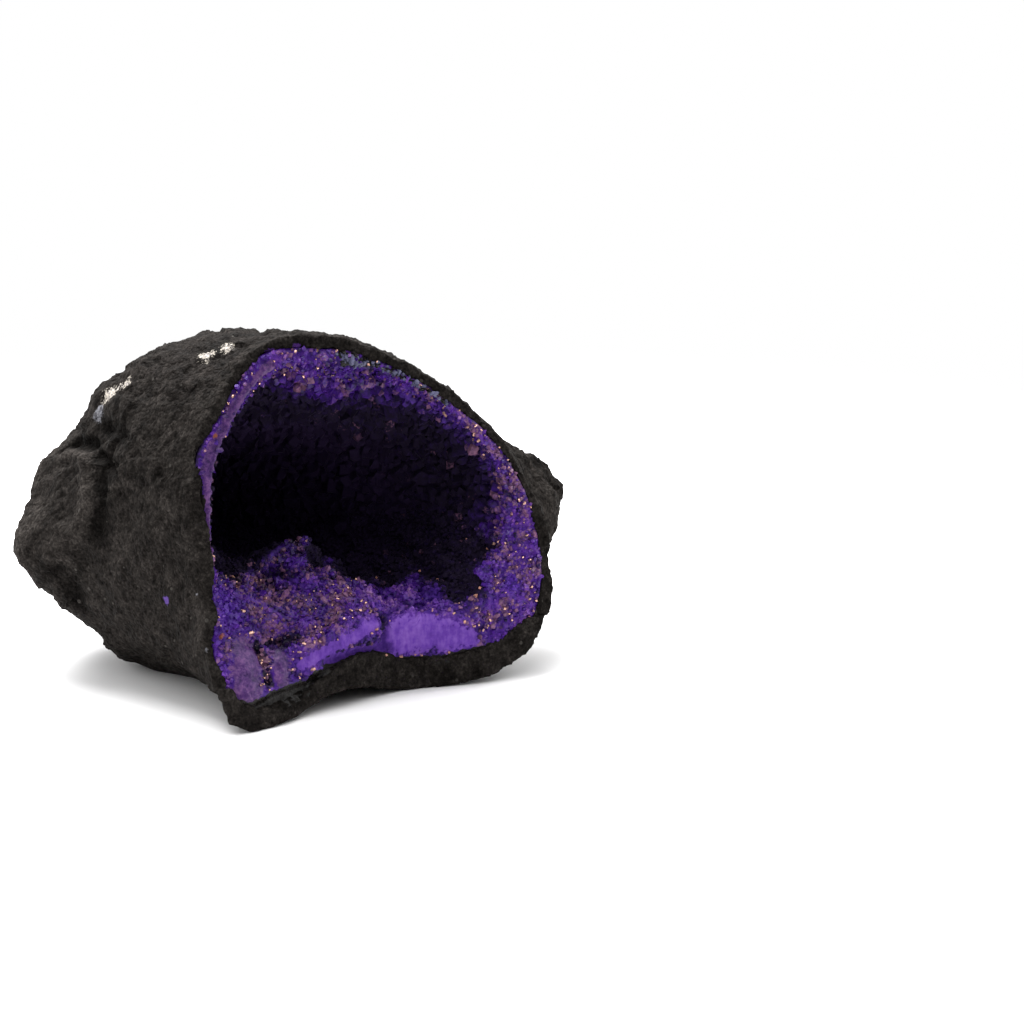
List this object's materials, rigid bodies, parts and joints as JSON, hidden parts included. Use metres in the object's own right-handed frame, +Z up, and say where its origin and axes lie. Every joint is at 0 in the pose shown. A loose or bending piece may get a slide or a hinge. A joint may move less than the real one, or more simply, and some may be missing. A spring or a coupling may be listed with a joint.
{
  "type": "geode half",
  "caption": "Half of a broken geode: dark granular host rock around a hollow lined with dyed violet calcite crystals.",
  "frame": {"origin": "middle of the bounding box, on the surface that the stone rests on", "axes": "+Z up; the mouth of the hollow faces -Y, leaning back a little; +X to the right of the mouth, seen from in front"},
  "size_m": [0.0892, 0.0696, 0.0581],
  "materials": {
    "host_rock": "matte, granular",
    "dyed_calcite": "crystalline, dyed violet"
  },
  "bodies": {
    "root": {"rock_shell": "host_rock", "calcite_lining": "dyed_calcite"}
  },
  "joints": []
}
